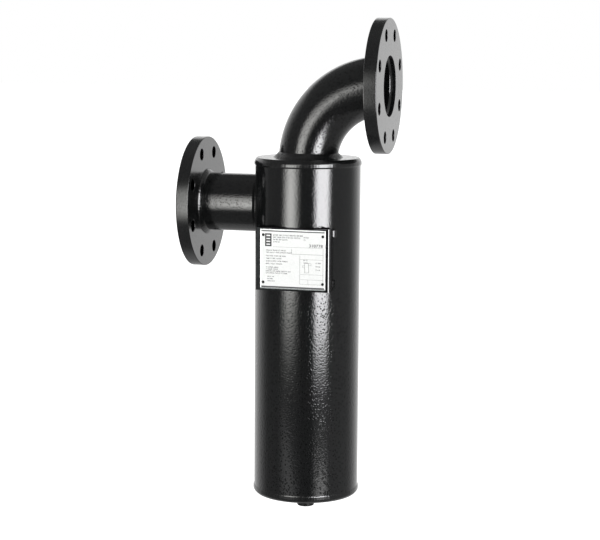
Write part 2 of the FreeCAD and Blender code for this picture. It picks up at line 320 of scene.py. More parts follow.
def make_world():
    """The room by direction, for reflections; the camera and matt surfaces get even light."""
    world = bpy.data.worlds.new("studio_room")
    world.use_nodes = True
    tree = world.node_tree
    tree.nodes.clear()
    direction = add(tree, "ShaderNodeTexCoord").outputs["Generated"]
    level = vectors(tree, "NORMALIZE", vectors(tree, "MULTIPLY", direction, (1, 1, 0)))
    ahead = vectors(tree, "DOT_PRODUCT", level, -bearing(CAMERA_BEARING + WALL_TURN))
    inner, outer = (math.cos(math.radians(angle)) for angle in WALL_HALF_WIDTH)
    wall = smooth_step(tree, ahead, outer, inner)
    rise = part(tree, direction, "Z")
    top_edge = (math.sin(math.radians(angle)) for angle in WALL_TOP)
    below_top = maths(tree, "SUBTRACT", 1.0, smooth_step(tree, rise, *top_edge))
    foot_edge = (math.sin(math.radians(angle)) for angle in WALL_FOOT)
    above_foot = mix_values(tree, smooth_step(tree, rise, *foot_edge), FOOT_LEVEL, 1.0)
    sideways = vectors(tree, "DOT_PRODUCT", level, bearing(CAMERA_BEARING + 90))
    dark_sides = ramp(tree, sideways, -SIDE_EDGE, SIDE_EDGE, DARK_LEFT, DARK_RIGHT)
    aside = smooth_step(tree, maths(tree, "ABSOLUTE", sideways), *FRONT_EDGE)
    dark = mix_values(tree, aside, DARK_FRONT, dark_sides)
    mask = product(tree, wall, below_top, above_foot)
    room = mix_values(tree, mask, dark, WALL_BRIGHTNESS)
    ray = add(tree, "ShaderNodeLightPath").outputs
    lit = mix_values(tree, ray["Is Glossy Ray"], FILL_LIGHT, room)
    strength = mix_values(tree, ray["Is Camera Ray"], lit, 1.0)
    light = add(tree, "ShaderNodeBackground", {"Color": (1, 1, 1, 1), "Strength": strength})
    add(tree, "ShaderNodeOutputWorld", {"Surface": light.outputs[0]})
    bpy.context.scene.world = world


make_world()
bpy.context.scene.view_settings.view_transform = "Standard"
print("room: wall", WALL_BRIGHTNESS, "dark side", DARK_LEFT, "to", DARK_RIGHT)

# %% [markdown]
# ## Softboxes
#
# Two tall softboxes stand in front of the vessel and draw the two bright streaks down the shell:
# a strong one on the right and a weaker one on the left. On a round pipe, a reflection leaves at
# twice the angle at which the wall turns away, so each softbox is a strip bent about the shell's
# axis, given by the bearings from the camera and the heights over the shell's foot of its four
# corners. Their light fades towards the edges, as it does through real diffuser cloth: slowly at
# both ends of the left one, and fast at the right one's top. Two dim cards, low down and further
# away, stand for the lit floor in front.

# %% Hang the softboxes
LEFT_DISTANCE, RIGHT_DISTANCE, CARD_DISTANCE = 0.70, 0.85, 1.40
STRIP_STEPS = 24
# between these shares of its height, a light's side fade changes from the first to the second
FADE_CHANGE = (0.48, 0.71)
WARM_WHITE = (1.0, 1.0, 0.97, 1)
COOL_WHITE = (0.98, 0.98, 1.0, 1)
WHITE = (1, 1, 1, 1)
SOFTBOXES = (
    # name, distance, two lower and two upper corners as (bearing, height), then the light's name,
    # colour, strength, two side fades, fades at the foot and the top, and the room's own level
    ("left_softbox", LEFT_DISTANCE, ((-62, 0.02), (-14, 0.02)), ((-50, 0.90), (-11.5, 1.02)),
     "left_diffuser", WARM_WHITE, 11.5, (0.50, 0.20), 0.43, 0.72, DARK_LEFT),
    ("right_softbox", RIGHT_DISTANCE, ((10.5, -0.015), (47, -0.015)), ((8.5, 0.96), (58, 0.96)),
     "right_diffuser", COOL_WHITE, 18.8, (0.32, 0.30), 0.24, 0.08, DARK_RIGHT),
    ("left_bounce_card", CARD_DISTANCE, ((-62, -0.45), (2, -0.45)), ((-66, -0.09), (-44, -0.09)),
     "low_card_left", WHITE, 1.1, (0.45, 0.45), 0.12, 0.7, DARK_LEFT),
    ("right_bounce_card", CARD_DISTANCE, ((9, -0.44), (54, -0.44)), ((18, -0.24), (52, -0.24)),
     "low_card_right", WHITE, 4.1, (0.40, 0.40), 0.15, 0.82, DARK_RIGHT),
)


def soft_light(name, colour, strength, side_fades, low_fade, high_fade, rest):
    """A light that fades towards the four sides of its UV square, down to the room's level."""
    material, tree, shader = new_material(name)
    tree.nodes.remove(shader)
    place = add(tree, "ShaderNodeTexCoord").outputs["UV"]
    across, upward = part(tree, place, "X"), part(tree, place, "Y")
    near_side = maths(tree, "MINIMUM", across, maths(tree, "SUBTRACT", 1.0, across))
    side_fade = mix_values(tree, smooth_step(tree, upward, *FADE_CHANGE), *side_fades)
    sides = smooth_step(tree, near_side, 0.0, side_fade)
    low = smooth_step(tree, upward, 0.0, low_fade)
    high = smooth_step(tree, maths(tree, "SUBTRACT", 1.0, upward), 0.0, high_fade)
    level = mix_values(tree, product(tree, sides, low, high), rest, strength)
    light = add(tree, "ShaderNodeEmission", {"Color": colour, "Strength": level})
    feed(tree, tree.nodes["Material Output"].inputs["Surface"], light.outputs[0])
    return material


def mesh_from(name, shape):
    """Turns a bmesh into a mesh."""
    mesh = bpy.data.meshes.new(name)
    shape.to_mesh(mesh)
    shape.free()
    return mesh


def hang_strip(name, distance, low_corners, high_corners, material):
    """A lit strip bent about the shell's axis, hidden from the camera."""
    grid = bmesh.new()
    uv = grid.loops.layers.uv.new("UVMap")
    columns = []
    for step in range(STRIP_STEPS + 1):
        share = step / STRIP_STEPS
        column = []
        for left, right in (low_corners, high_corners):
            out = bearing(CAMERA_BEARING + left[0] + (right[0] - left[0]) * share)
            height = bottom_z + left[1] + (right[1] - left[1]) * share
            column.append(grid.verts.new(Vector((axis_x, axis_y, height)) + out * distance))
        columns.append((share, column))
    for (share_a, left), (share_b, right) in zip(columns, columns[1:]):
        face = grid.faces.new((left[0], right[0], right[1], left[1]))
        corners = ((share_a, 0), (share_b, 0), (share_b, 1), (share_a, 1))
        for loop, corner in zip(face.loops, corners):
            loop[uv].uv = corner
    mesh = mesh_from(name, grid)
    mesh.materials.append(material)
    strip = into_scene(name, mesh)
    strip.visible_camera = False
    strip.visible_diffuse = False
    strip.visible_shadow = False


for name, distance, low_corners, high_corners, *light in SOFTBOXES:
    hang_strip(name, distance, low_corners, high_corners, soft_light(*light))
print("softboxes and cards:", [row[0] for row in SOFTBOXES])

# %% [markdown]
# ## Floor
#
# The vessel hangs from its pipework, so the floor lies below it and only has to be plain and
# pale. It gives off most of its own light, which keeps it as even as a lit paper sweep.

# %% Lay the floor
FLOOR_DROP = 0.30
FLOOR_SIZE = 60.0
FLOOR_GREYS = ((0.30, 0.30, 0.30, 1), (0.32, 0.32, 0.32, 1))


def make_floor():
    """A matt plane that gives off its own light; gives its height."""
    material, tree, surface = new_material("pale_floor")
    grain = noise(tree, object_place(tree), 3.0)
    feed(tree, surface.inputs["Base Color"], mix_colours(tree, grain, *FLOOR_GREYS))
    surface.inputs["Roughness"].default_value = 0.9
    surface.inputs["Specular IOR Level"].default_value = 0.0
    surface.inputs["Emission Color"].default_value = WHITE
    surface.inputs["Emission Strength"].default_value = 1.0
    half = FLOOR_SIZE / 2
    level = cad_low.z - FLOOR_DROP
    mesh = bpy.data.meshes.new("floor")
    corners = [(-half, -half), (half, -half), (half, half), (-half, half)]
    mesh.from_pydata([(x, y, level) for x, y in corners], [], [(0, 1, 2, 3)])
    mesh.materials.append(material)
    floor = into_scene("floor", mesh)
    floor.visible_glossy = False
    return level


print("floor at", round(make_floor(), 3), "m")

# %% [markdown]
# ## Paint texture as shared groups
#
# Sprayed enamel on rolled steel is never quite flat. Close up it has **orange peel**, shallow
# bumps 2 to 4 mm wide, and below it the steel's own **mill scale** shows as finer, patchy
# roughness. Both are one effect at different sizes, so they are built once, as node groups with
# their sizes as inputs, and each material gives its own values. The peel puts out a height and a
# mask of its small hollows, where the paint is duller, and the scale puts out a mask. The bump
# node and the shader stay in the material.

# %% Build the texture groups
# noise values between which a patch of rough paint fades in, and the patches' own scale
PATCH_EDGE = (0.36, 0.62)
PATCH_SCALE = 22.0
# hollows sit in cells; each fades out between two distances from its cell's middle
HOLLOW_CELLS = 0.70
HOLLOW_EDGE = (0.10, 0.46)
DENT_SHARE = 0.55


def in_units(tree, place, size):
    """Coordinates counted in a given size."""
    return vectors(tree, "SCALE", place, scale=maths(tree, "DIVIDE", 1.0, size))


def make_peel_group():
    """Orange peel: rounded bumps and small hollows, with longer waves that follow the rolling."""
    tree, given, result = new_tree(
        "orange_peel", "ShaderNodeTree",
        {"Size": (FLOAT, 0.003), "Waves Size": (FLOAT, 0.012), "Waves": (FLOAT, 0.5),
         "Stretch": (VECTOR, (1, 1, 1)), "Patchiness": (FLOAT, 0.5), "Pits": (FLOAT, 0.0)},
        {"Height": (FLOAT, None), "Hollows": (FLOAT, None)})
    place = object_place(tree)
    fine_place = in_units(tree, place, given["Size"])
    stretched = vectors(tree, "MULTIPLY", place, given["Stretch"])
    wave_place = in_units(tree, stretched, given["Waves Size"])
    patches = smooth_step(tree, noise(tree, place, PATCH_SCALE, 1.0), *PATCH_EDGE)
    share = mix_values(tree, given["Patchiness"], 1.0, patches)
    bumps = product(tree, noise(tree, fine_place, 1.0, 1.5, 0.45), share)
    waves = product(tree, noise(tree, wave_place, 1.0, 1.0, 0.4), given["Waves"])
    cells = add(tree, "ShaderNodeTexVoronoi", {"Vector": fine_place, "Scale": HOLLOW_CELLS})
    apart = smooth_step(tree, cells.outputs["Distance"], *HOLLOW_EDGE)
    hollows = product(tree, maths(tree, "SUBTRACT", 1.0, apart), given["Pits"], share)
    raised = maths(tree, "ADD", bumps, waves)
    dents = product(tree, hollows, DENT_SHARE)
    feed(tree, result["Height"], maths(tree, "SUBTRACT", raised, dents))
    feed(tree, result["Hollows"], hollows)
    return tree


def make_scale_group():
    """Mill scale: a mask of small flat flakes, for roughness and a trace of colour."""
    tree, given, result = new_tree(
        "mill_scale", "ShaderNodeTree",
        {"Size": (FLOAT, 0.002), "Low": (FLOAT, 0.0), "High": (FLOAT, 1.0)},
        {"Value": (FLOAT, None)})
    scaled = in_units(tree, object_place(tree), given["Size"])
    flakes = add(tree, "ShaderNodeTexVoronoi", {"Vector": scaled, "Scale": 0.6})
    mixed = product(tree, flakes.outputs["Distance"], noise(tree, scaled, 0.35, 3.0))
    feed(tree, result["Value"], ramp(tree, mixed, 0.05, 0.45, given["Low"], given["High"]))
    return tree


orange_peel = make_peel_group()
mill_scale = make_scale_group()
print("groups:", orange_peel.name, mill_scale.name)

# %% [markdown]
# ## Gloss black enamel
#
# One recipe serves every painted piece: nearly black base colour, a roughness that the mill scale
# varies a little, and the orange peel as bump. Only the numbers differ. The shell is glossy,
# with pits in its lower part, the hot-bent elbow is rougher, and the flanges, cut from hot-rolled
# plate, have a fine grain. A little Metallic dulls the pits: on so black a colour a metal has
# almost no reflection. It dulls the bolt holes too. IOR and specular level are the same all over
# a piece, so they are set on the shader's own sockets.

# %% Mix the paints
PAINT_BLACK = (0.0035, 0.0038, 0.0040, 1)
PAINT_GREY = (0.0060, 0.0064, 0.0066, 1)
PAINT_IOR = 1.52
PIT_DULLNESS = 0.5
PITS_ABOVE = 0.12
PIT_EDGE = 0.03
BOLT_CIRCLE_R = 0.080
BOLT_HOLE_R = 0.009
HOLE_MARGIN = 0.0004
MATT_DEPTH = (0.0003, 0.0009)


def gloss_paint(name, peel_size, peel_depth, waves_size=0.012, waves=0.5, stretch=(1, 1, 1),
                patchiness=0.5, roughness=(0.12, 0.22), grain=0.002, pits=0.0, pits_below=None,
                specular=0.5, ior=PAINT_IOR):
    """Black enamel with its own peel and gloss; its pits may be there mostly below a height."""
    material, tree, paint = new_material(name)
    flakes = add(tree, "ShaderNodeGroup", {"Size": grain}, node_tree=mill_scale).outputs["Value"]
    feed(tree, paint.inputs["Base Color"], mix_colours(tree, flakes, PAINT_BLACK, PAINT_GREY))
    feed(tree, paint.inputs["Roughness"], ramp(tree, flakes, 0.0, 1.0, *roughness))
    if pits_below is not None:
        above = smooth_step(tree, object_place(tree, "Z"), pits_below - PIT_EDGE,
                            pits_below + PIT_EDGE)
        pits = mix_values(tree, above, pits, pits * PITS_ABOVE)
    peel = add(tree, "ShaderNodeGroup",
               {"Size": peel_size, "Waves Size": waves_size, "Waves": waves, "Pits": pits,
                "Stretch": stretch, "Patchiness": patchiness}, node_tree=orange_peel)
    feed(tree, paint.inputs["Metallic"], product(tree, peel.outputs["Hollows"], PIT_DULLNESS))
    bump = add(tree, "ShaderNodeBump", {"Height": peel.outputs["Height"], "Distance": peel_depth})
    feed(tree, paint.inputs["Normal"], bump.outputs["Normal"])
    paint.inputs["Specular IOR Level"].default_value = specular
    paint.inputs["IOR"].default_value = ior
    return material


def flange_enamel(name, node):
    """The flanges' paint, which is matt inside the bolt holes."""
    low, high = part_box(node)
    half_thick = (high.x - low.x) / 2
    material = gloss_paint(name, 0.0018, 0.00005, patchiness=0.4, roughness=(0.16, 0.24),
                           grain=0.0016, pits=0.7)
    tree = material.node_tree
    offset = vectors(tree, "SUBTRACT", object_place(tree), tuple((low + high) / 2))
    radial = vectors(tree, "LENGTH", vectors(tree, "MULTIPLY", offset, (0, 1, 1)))
    along = vectors(tree, "LENGTH", vectors(tree, "MULTIPLY", offset, (1, 0, 0)))
    from_circle = maths(tree, "ABSOLUTE", maths(tree, "SUBTRACT", radial, BOLT_CIRCLE_R))
    in_holes = maths(tree, "LESS_THAN", from_circle, BOLT_HOLE_R + HOLE_MARGIN)
    inside = smooth_step(tree, along, *(half_thick - depth for depth in MATT_DEPTH))
    metallic = tree.nodes["Principled BSDF"].inputs["Metallic"]
    in_pits = metallic.links[0].from_socket
    feed(tree, metallic, maths(tree, "MAXIMUM", in_pits, product(tree, in_holes, inside)))
    return material


shell_paint = gloss_paint("shell_enamel", 0.0026, 0.00017, waves_size=0.007, waves=0.22,
                          patchiness=0.25, roughness=(0.06, 0.10), pits=1.5,
                          pits_below=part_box("nameplate")[0].z)
plate_paint = gloss_paint("end_plate_enamel", 0.0025, 0.00008, roughness=(0.14, 0.24))
bend_paint = gloss_paint("bend_enamel", 0.0025, 0.00013, waves_size=0.006, patchiness=0.3,
                         roughness=(0.10, 0.15), pits=1.4)
pipe_paint = gloss_paint("pipe_enamel", 0.0024, 0.00015, waves=0.3, stretch=(0.6, 1, 1),
                         roughness=(0.08, 0.13), pits=1.2)
flange_paints = {end: flange_enamel(end + "_flange_enamel", end + "_flange")
                 for end in ("inlet", "outlet")}
weld_paint = gloss_paint("weld_enamel", 0.0020, 0.00006)
corner_paint = gloss_paint("corner_enamel", 0.0020, 0.00016, roughness=(0.20, 0.34),
                           specular=0.08)
sheet_paint = gloss_paint("sheet_enamel", 0.0030, 0.00005, patchiness=0.6,
                          roughness=(0.05, 0.09), ior=1.9)
rivet_black = gloss_paint("rivet_black", 0.0012, 0.00003, roughness=(0.25, 0.40), grain=0.001,
                          specular=0.15)
ring_black = gloss_paint("seal_ring_enamel", 0.0015, 0.00004, roughness=(0.25, 0.40))
print("paints:", [m.name for m in bpy.data.materials if "enamel" in m.name])

# %% Paint the frame's own pieces
PAINTED = {
    "shell": shell_paint,
    "top_end_plate": plate_paint,
    "bottom_end_plate": plate_paint,
    "inlet_pipe": pipe_paint,
    "vortex_tube": pipe_paint,
    "outlet_elbow": bend_paint,
    "drain_socket": plate_paint,
    "drain_plug": plate_paint,
    "drain_washer": ring_black,
    "nameplate_bracket": sheet_paint,
}
for name, material in PAINTED.items():
    nodes[name].material_slots[0].material = material
print("painted", len(PAINTED), "pieces of the frame")

# %% [markdown]
# ## Weld beads
#
# A weld bead is a row of small overlapping ripples, each the edge of a pool that froze. In the
# frame a bead is one smooth ring. It could be given ripples by a bump map, but a bead's outline
# is part of its look, so it is made as real geometry: a Geometry Nodes tree sweeps a closed
# section along a path and pushes the section's face out in ripples.
#
# The path is a chain of points that carries three vectors at every point: **reach_a** and
# **reach_b** go from the corner to the bead's two toes, and **crown** points out of the corner.
# The tree needs nothing else, so the same tree makes round beads, saddle-shaped ones and short
# stitches.

# %% Build the weld bead tree
STEPS_PER_RIPPLE = 6
SECTION_POINTS = 20
WOBBLE_SCALE = 260.0
JITTER_STEP = 0.31
RIPPLE_MIDDLE = 0.6


def hand_out(tree, geometry, material, result, smooth=True):
    """Ends a tree: smooth faces, real geometry instead of instances, and the material."""
    if smooth:
        geometry = add(tree, "GeometryNodeSetShadeSmooth", {"Geometry": geometry}).outputs[0]
    real = add(tree, "GeometryNodeRealizeInstances", {"Geometry": geometry})
    painted = add(tree, "GeometryNodeSetMaterial",
                  {"Geometry": real.outputs[0], "Material": material})
    feed(tree, result, painted.outputs[0])


def make_bead_tree():
    """Sweeps a closed section along a path; its face ripples, and its other half lies in metal."""
    tree, given, result = new_tree(
        "weld_bead", "GeometryNodeTree",
        {"Path": (GEOMETRY, None), "Ripple Pitch": (FLOAT, 0.0025),
         "Ripple Depth": (FLOAT, 0.0003), "Bow": (FLOAT, 0.5), "Fullness": (FLOAT, 1.5),
         "Crown": (FLOAT, 0.001), "Buried": (FLOAT, 0.001), "Wander": (FLOAT, 0.08),
         "Seed": (FLOAT, 0.0), "Material": (MATERIAL, None)},
        {"Bead": (GEOMETRY, None)})
    curve = add(tree, "GeometryNodeMeshToCurve", {"Mesh": given["Path"]}).outputs[0]
    step = maths(tree, "DIVIDE", given["Ripple Pitch"], float(STEPS_PER_RIPPLE))
    fine = add(tree, "GeometryNodeResampleCurve", {"Curve": curve, "Length": step}, mode="LENGTH")
    length = add(tree, "GeometryNodeSplineLength").outputs["Length"]
    ripples = maths(tree, "ROUND", maths(tree, "DIVIDE", length, given["Ripple Pitch"]))
    factor = add(tree, "GeometryNodeSplineParameter").outputs[0]
    root = keep(tree, fine.outputs[0], "root", add(tree, "GeometryNodeInputPosition").outputs[0],
                "FLOAT_VECTOR")
    counted = keep(tree, root, "count", product(tree, factor, ripples))
    circle = add(tree, "GeometryNodeCurvePrimitiveCircle",
                 {"Resolution": SECTION_POINTS, "Radius": 0.001}).outputs["Curve"]
    index = add(tree, "GeometryNodeInputIndex").outputs[0]
    section = keep(tree, circle, "turn", product(tree, index, 2 * math.pi / SECTION_POINTS))
    swept = add(tree, "GeometryNodeCurveToMesh",
                {"Curve": counted, "Profile Curve": section, "Fill Caps": True})
    angle = recall(tree, "turn")
    along = recall(tree, "count")
    bulge = maths(tree, "SINE", angle)

    def sway(pattern):
        """A noise pattern turned into a sway to both sides of zero."""
        return product(tree, maths(tree, "SUBTRACT", pattern, 0.5), given["Wander"])

    wobble = sway(noise(tree, recall(tree, "root", "FLOAT_VECTOR"), WOBBLE_SCALE))
    seeded = add(tree, "ShaderNodeCombineXYZ",
                 {0: product(tree, along, JITTER_STEP), 1: given["Seed"]}).outputs[0]
    jitter = sway(noise(tree, seeded, 1.0, 1.0))
    # the face runs from toe to toe over the section's first half
    face = maths(tree, "LESS_THAN", angle, math.pi + 0.01)
    back = maths(tree, "SUBTRACT", 1.0, face)
    half_angle = product(tree, angle, 0.5)
    quarters = maths(tree, "DIVIDE", maths(tree, "SUBTRACT", angle, math.pi), math.pi / 2)

    def reach(operation, drift, buried):
        """How far the section reaches to one toe: on its face, and straight back below it."""
        wave = maths(tree, "MAXIMUM", maths(tree, operation, half_angle), 0.0)
        toe = maths(tree, "ADD", product(tree, drift, 2.0), 1.0)
        on_face = product(tree, maths(tree, "POWER", wave, given["Fullness"]), toe, face)
        return maths(tree, "ADD", on_face, product(tree, maths(tree, "MAXIMUM", buried, 0.0), back))

    reach_a = reach("COSINE", wobble, maths(tree, "SUBTRACT", quarters, 1.0))
    reach_b = reach("SINE", jitter, maths(tree, "SUBTRACT", 1.0, quarters))
    lag = product(tree, given["Bow"], maths(tree, "SUBTRACT", 1.0, bulge))
    phase = maths(tree, "ADD", maths(tree, "ADD", along, lag), product(tree, jitter, 3.0))
    scallop = maths(tree, "ABSOLUTE", maths(tree, "SINE", product(tree, phase, math.pi)))
    rise = product(tree, maths(tree, "SUBTRACT", scallop, RIPPLE_MIDDLE), given["Ripple Depth"])
    outward = product(tree, maths(tree, "MAXIMUM", bulge, 0.0),
                      maths(tree, "ADD", given["Crown"], rise))
    inward = product(tree, maths(tree, "MINIMUM", bulge, 0.0), given["Buried"])
    place = recall(tree, "root", "FLOAT_VECTOR")
    for title, amount in (("reach_a", reach_a), ("reach_b", reach_b),
                          ("crown", maths(tree, "ADD", outward, inward))):
        move = vectors(tree, "SCALE", recall(tree, title, "FLOAT_VECTOR"), scale=amount)
        place = vectors(tree, "ADD", place, move)
    bead = add(tree, "GeometryNodeSetPosition", {"Geometry": swept.outputs[0], "Position": place})
    hand_out(tree, bead.outputs[0], given["Material"], result["Bead"])
    return tree


bead_tree = make_bead_tree()
print("tree:", bead_tree.name, len(bead_tree.nodes), "nodes")

# %% [markdown]
# ## From a tree to a plain piece
#
# A finished piece is a plain mesh: the tree is evaluated once, its result is copied, and the
# modifier goes. The inputs are set by their sockets' identifiers, which stay the same whatever
# the names are. A closed sweep may come out inside out, so its normals are recalculated.

# %% Make pieces from trees
CREASE_ANGLE = 50.0
HELPERS = ("root", "count", "turn", "reach_a", "reach_b", "crown", "bulge", "spread", "level")


def run_tree(name, source, tree, values):
    """Evaluates a tree on a source mesh and gives a new object with the resulting mesh."""
    carrier = into_scene(name + "_source", source)
    modifier = carrier.modifiers.new("shape", "NODES")
    modifier.node_group = tree
    sockets = {s.name: s.identifier for s in tree.interface.items_tree if s.in_out == "INPUT"}
    for title, value in values.items():
        modifier[sockets[title]] = value
    view = bpy.context.evaluated_depsgraph_get()
    mesh = bpy.data.meshes.new_from_object(carrier.evaluated_get(view))
    bpy.data.objects.remove(carrier)
    mesh.name = name
    return into_scene(name, mesh)


def face_outwards(mesh):
    """Turns every face of a closed mesh outwards and drops the attributes used to make it."""
    shape = bmesh.new()
    shape.from_mesh(mesh)
    bmesh.ops.remove_doubles(shape, verts=shape.verts, dist=1e-7)
    bmesh.ops.recalc_face_normals(shape, faces=shape.faces)
    shape.to_mesh(mesh)
    shape.free()
    mesh.set_sharp_from_angle(angle=math.radians(CREASE_ANGLE))
    for helper in HELPERS:
        if helper in mesh.attributes:
            mesh.attributes.remove(mesh.attributes[helper])


def path_mesh(name, spots, closed=True):
    """A chain of edges through spots, each a point and the bead's three vectors there."""
    points, *reaches = zip(*spots)
    count = len(points)
    edges = [(i, (i + 1) % count) for i in range(count if closed else count - 1)]
    mesh = bpy.data.meshes.new(name)
    mesh.from_pydata(points, edges, [])
    for title, values in zip(("reach_a", "reach_b", "crown"), reaches):
        attribute = mesh.attributes.new(title, "FLOAT_VECTOR", "POINT")
        attribute.data.foreach_set("vector", [number for value in values for number in value])
    return mesh


def stand_for(piece, slot, *replaced):
    """Finishes a piece: it rides with the vessel and may stand for nodes of the frame."""
    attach(piece, "root")
    if replaced:
        face_outwards(piece.data)
        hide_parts(*replaced)
    print(piece.name, len(piece.data.polygons), "faces")


def lay_bead(name, path, replaced, pitch=0.0026, depth=0.00035, bow=0.5, fullness=1.8,
             crown=0.0006, buried=0.001, wander=0.10, seed=0.0, paint=weld_paint):
    """A painted bead along a path, standing for one node of the frame."""
    bead = run_tree(name, path, bead_tree, {
        "Ripple Pitch": pitch, "Ripple Depth": depth, "Bow": bow, "Fullness": fullness,
        "Crown": crown, "Buried": buried, "Wander": wander, "Seed": seed, "Material": paint})
    stand_for(bead, "black_paint", replaced)


# %% [markdown]
# ## Round beads
#
# Most beads are rings: round the flanges and the drain socket. A ring needs only a centre, an
# axis and a radius.

# %% Lay the ring beads
RING_POINTS = 180
TURNS = [2 * math.pi * i / RING_POINTS for i in range(RING_POINTS)]


def ring_path(name, centre, axis, radius, leg):
    """A ring about an axis; its toes lie along the axis and outwards, or inwards below 0."""
    side = axis.orthogonal().normalized()
    other = axis.cross(side)
    spots = []
    for turn in TURNS:
        out = side * math.cos(turn) + other * math.sin(turn)
        crown = (out * math.copysign(1, leg) + axis).normalized()
        spots.append((centre + out * radius, out * leg, axis * abs(leg), crown))
    return path_mesh(name, spots)


def lay_ring_beads():
    """The ring beads of both flanges and of the drain socket."""
    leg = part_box("inlet_flange_back_weld")[1].z - pipe_r
    corner = Vector((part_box("inlet_flange")[1].x, 0, 0))
    lay_bead("inlet_flange_back_bead", ring_path("back_path", corner, X_OUT, pipe_r, leg),
             "inlet_flange_back_weld", fullness=2.0, depth=0.00012, pitch=0.0040)
    for end, outwards in (("inlet", -X_OUT), ("outlet", X_OUT)):
        node = end + "_flange_face_weld"
        low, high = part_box(node)
        centre = (low + high) / 2
        centre.x = high.x if end == "inlet" else low.x
        path = ring_path(end + "_face_path", centre, outwards, (high.z - low.z) / 2, -width(node))
        lay_bead(end + "_flange_face_bead", path, node, pitch=0.002, depth=0.0001, crown=0.0005)
    socket_r = width("drain_socket") / 2
    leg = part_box("drain_socket_weld")[1].x - axis_x - socket_r
    foot = Vector((axis_x, axis_y, bottom_z))
    lay_bead("drain_socket_bead", ring_path("socket_path", foot, -Z_UP, socket_r, leg),
             "drain_socket_weld", pitch=0.002, depth=0.00025, crown=0.0005)


lay_ring_beads()

# %% [markdown]
# ## Beads on the bend and at the inlet branch
#
# Where a flat plate cuts the pipe bend, the edge isn't quite a circle, and where the inlet pipe
# meets the shell it is a saddle. Both follow from a formula for where two surfaces meet. On the
# saddle the toes must lie on the surfaces: one runs back along the pipe, and the other runs over
# the shell, square to the weld.

# %% Lay the bend and branch beads


def bend_path(name, depth_in, leg, at_base):
    """The edge where a plate square to the bend's end cuts it, depth_in from that end."""
    centre = Vector((bend_end_x, axis_y, bend_start_z))
    spots = []
    for turn in TURNS:
        reach = bend_r + pipe_r * math.cos(turn)
        level = math.sqrt(reach ** 2 - depth_in ** 2)
        sideways = Vector((0, pipe_r * math.sin(turn), 0))
        if at_base:
            point = centre + Vector((-level, 0, depth_in)) + sideways
            out = Vector((-math.cos(turn), math.sin(turn), 0))
            along = Z_UP
        else:
            point = centre + Vector((-depth_in, 0, level)) + sideways
            out = Vector((0, math.sin(turn), math.cos(turn)))
            along = -X_OUT
        spots.append((point, out * leg, along * leg, (out + along).normalized()))
    return path_mesh(name, spots)


def branch_path(name, leg):
    """The saddle where the inlet pipe meets the shell."""
    spots = []
    for turn in TURNS:
        y, z = pipe_r * math.sin(turn), pipe_r * math.cos(turn)
        x = axis_x - math.sqrt(shell_r ** 2 - (y - axis_y) ** 2)
        pipe_normal = Vector((0, y, z)).normalized()
        shell_normal = Vector((x - axis_x, y - axis_y, 0)).normalized()
        weld_direction = pipe_normal.cross(shell_normal).normalized()
        over_shell = weld_direction.cross(shell_normal)
        if over_shell.dot(pipe_normal) < 0:
            over_shell.negate()
        crown = (pipe_normal + shell_normal).normalized()
        spots.append((Vector((x, y, z)), over_shell * leg, -X_OUT * leg, crown))
    return path_mesh(name, spots)


base_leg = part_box("elbow_base_weld")[1].z - top_z
lay_bead("bend_base_bead", bend_path("base_path", top_z - bend_start_z, base_leg, True),
         "elbow_base_weld", pitch=0.0032, depth=0.0005, fullness=2.3, crown=0.0002)
flange_back_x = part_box("outlet_flange")[0].x
back_leg = flange_back_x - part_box("outlet_flange_back_weld")[0].x
lay_bead("outlet_flange_back_bead",
         bend_path("outlet_back_path", bend_end_x - flange_back_x, back_leg, False),
         "outlet_flange_back_weld", seed=3.0)
branch_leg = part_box("inlet_branch_weld")[1].z - pipe_r
lay_bead("inlet_branch_bead", branch_path("branch_path", branch_leg), "inlet_branch_weld",
         pitch=0.003, depth=0.0004, seed=5.0)

# %% [markdown]
# ## Stitches on the nameplate bracket
#
# Four short stitches hold the bracket's legs to the shell. A stitch is the same bead on an open
# path. Its vectors shrink towards both ends, so it starts and stops in a rounded nose.

# %% Lay the stitches
STITCH_POINTS = 15
STITCH_BITE = 0.0004
STITCH_SPREAD = 0.0012
STITCH_CROWN = 0.0012
NOSE_POWER = 5
NOSE_LEAST = 0.02


def stitch_path(name, low, high, side):
    """The corner between a bracket leg and the shell; side is -1 on the left and 1 on the right."""
    leg_x, toe_x = (high.x, low.x) if side < 0 else (low.x, high.x + STITCH_SPREAD)
    leg_x += side * STITCH_BITE
    corner_y, toe_y = (axis_y - math.sqrt(shell_r ** 2 - (x - axis_x) ** 2) for x in (leg_x, toe_x))
    along_leg = Vector((0, low.y - corner_y, 0))
    along_shell = Vector((toe_x - leg_x, toe_y - corner_y, 0))
    crown = (along_leg.normalized() + along_shell.normalized()).normalized()
    spots = []
    for i in range(STITCH_POINTS):
        share = i / (STITCH_POINTS - 1)
        swell = math.sqrt(max(1 - abs(2 * share - 1) ** NOSE_POWER, NOSE_LEAST))
        point = Vector((leg_x, corner_y, low.z + (high.z - low.z) * share))
        spots.append((point, along_leg * swell, along_shell * swell, crown * swell))
    return path_mesh(name, spots, closed=False)


for side, hand in ((-1, "left"), (1, "right")):
    for end, fullness, paint in (("top", 1.0, weld_paint), ("bottom", 1.7, corner_paint)):
        node = f"bracket_weld_{hand}_{end}"
        path = stitch_path(node + "_path", *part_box(node), side)
        lay_bead(f"bracket_stitch_{hand}_{end}", path, node, pitch=0.0024, fullness=fullness,
                 crown=STITCH_CROWN / fullness, seed=side + 2.0, paint=paint)

# %% [markdown]
# ## Turned shapes
#
# The seams at the shell's ends are wide beads with a shoulder: they round over the plate's edge,
# run straight down the pipe and then slope in to it, which leaves a dark groove below. A lathe
# tree makes such a shape from its section. It turns a closed outline about the Z axis, and lets
# the points that are marked with **bulge** swell in ripples. The rivets use the same tree.

# %% Build the lathe tree
UNEVEN_SCALE = 14.0
UNEVEN_MIDDLE = 0.6


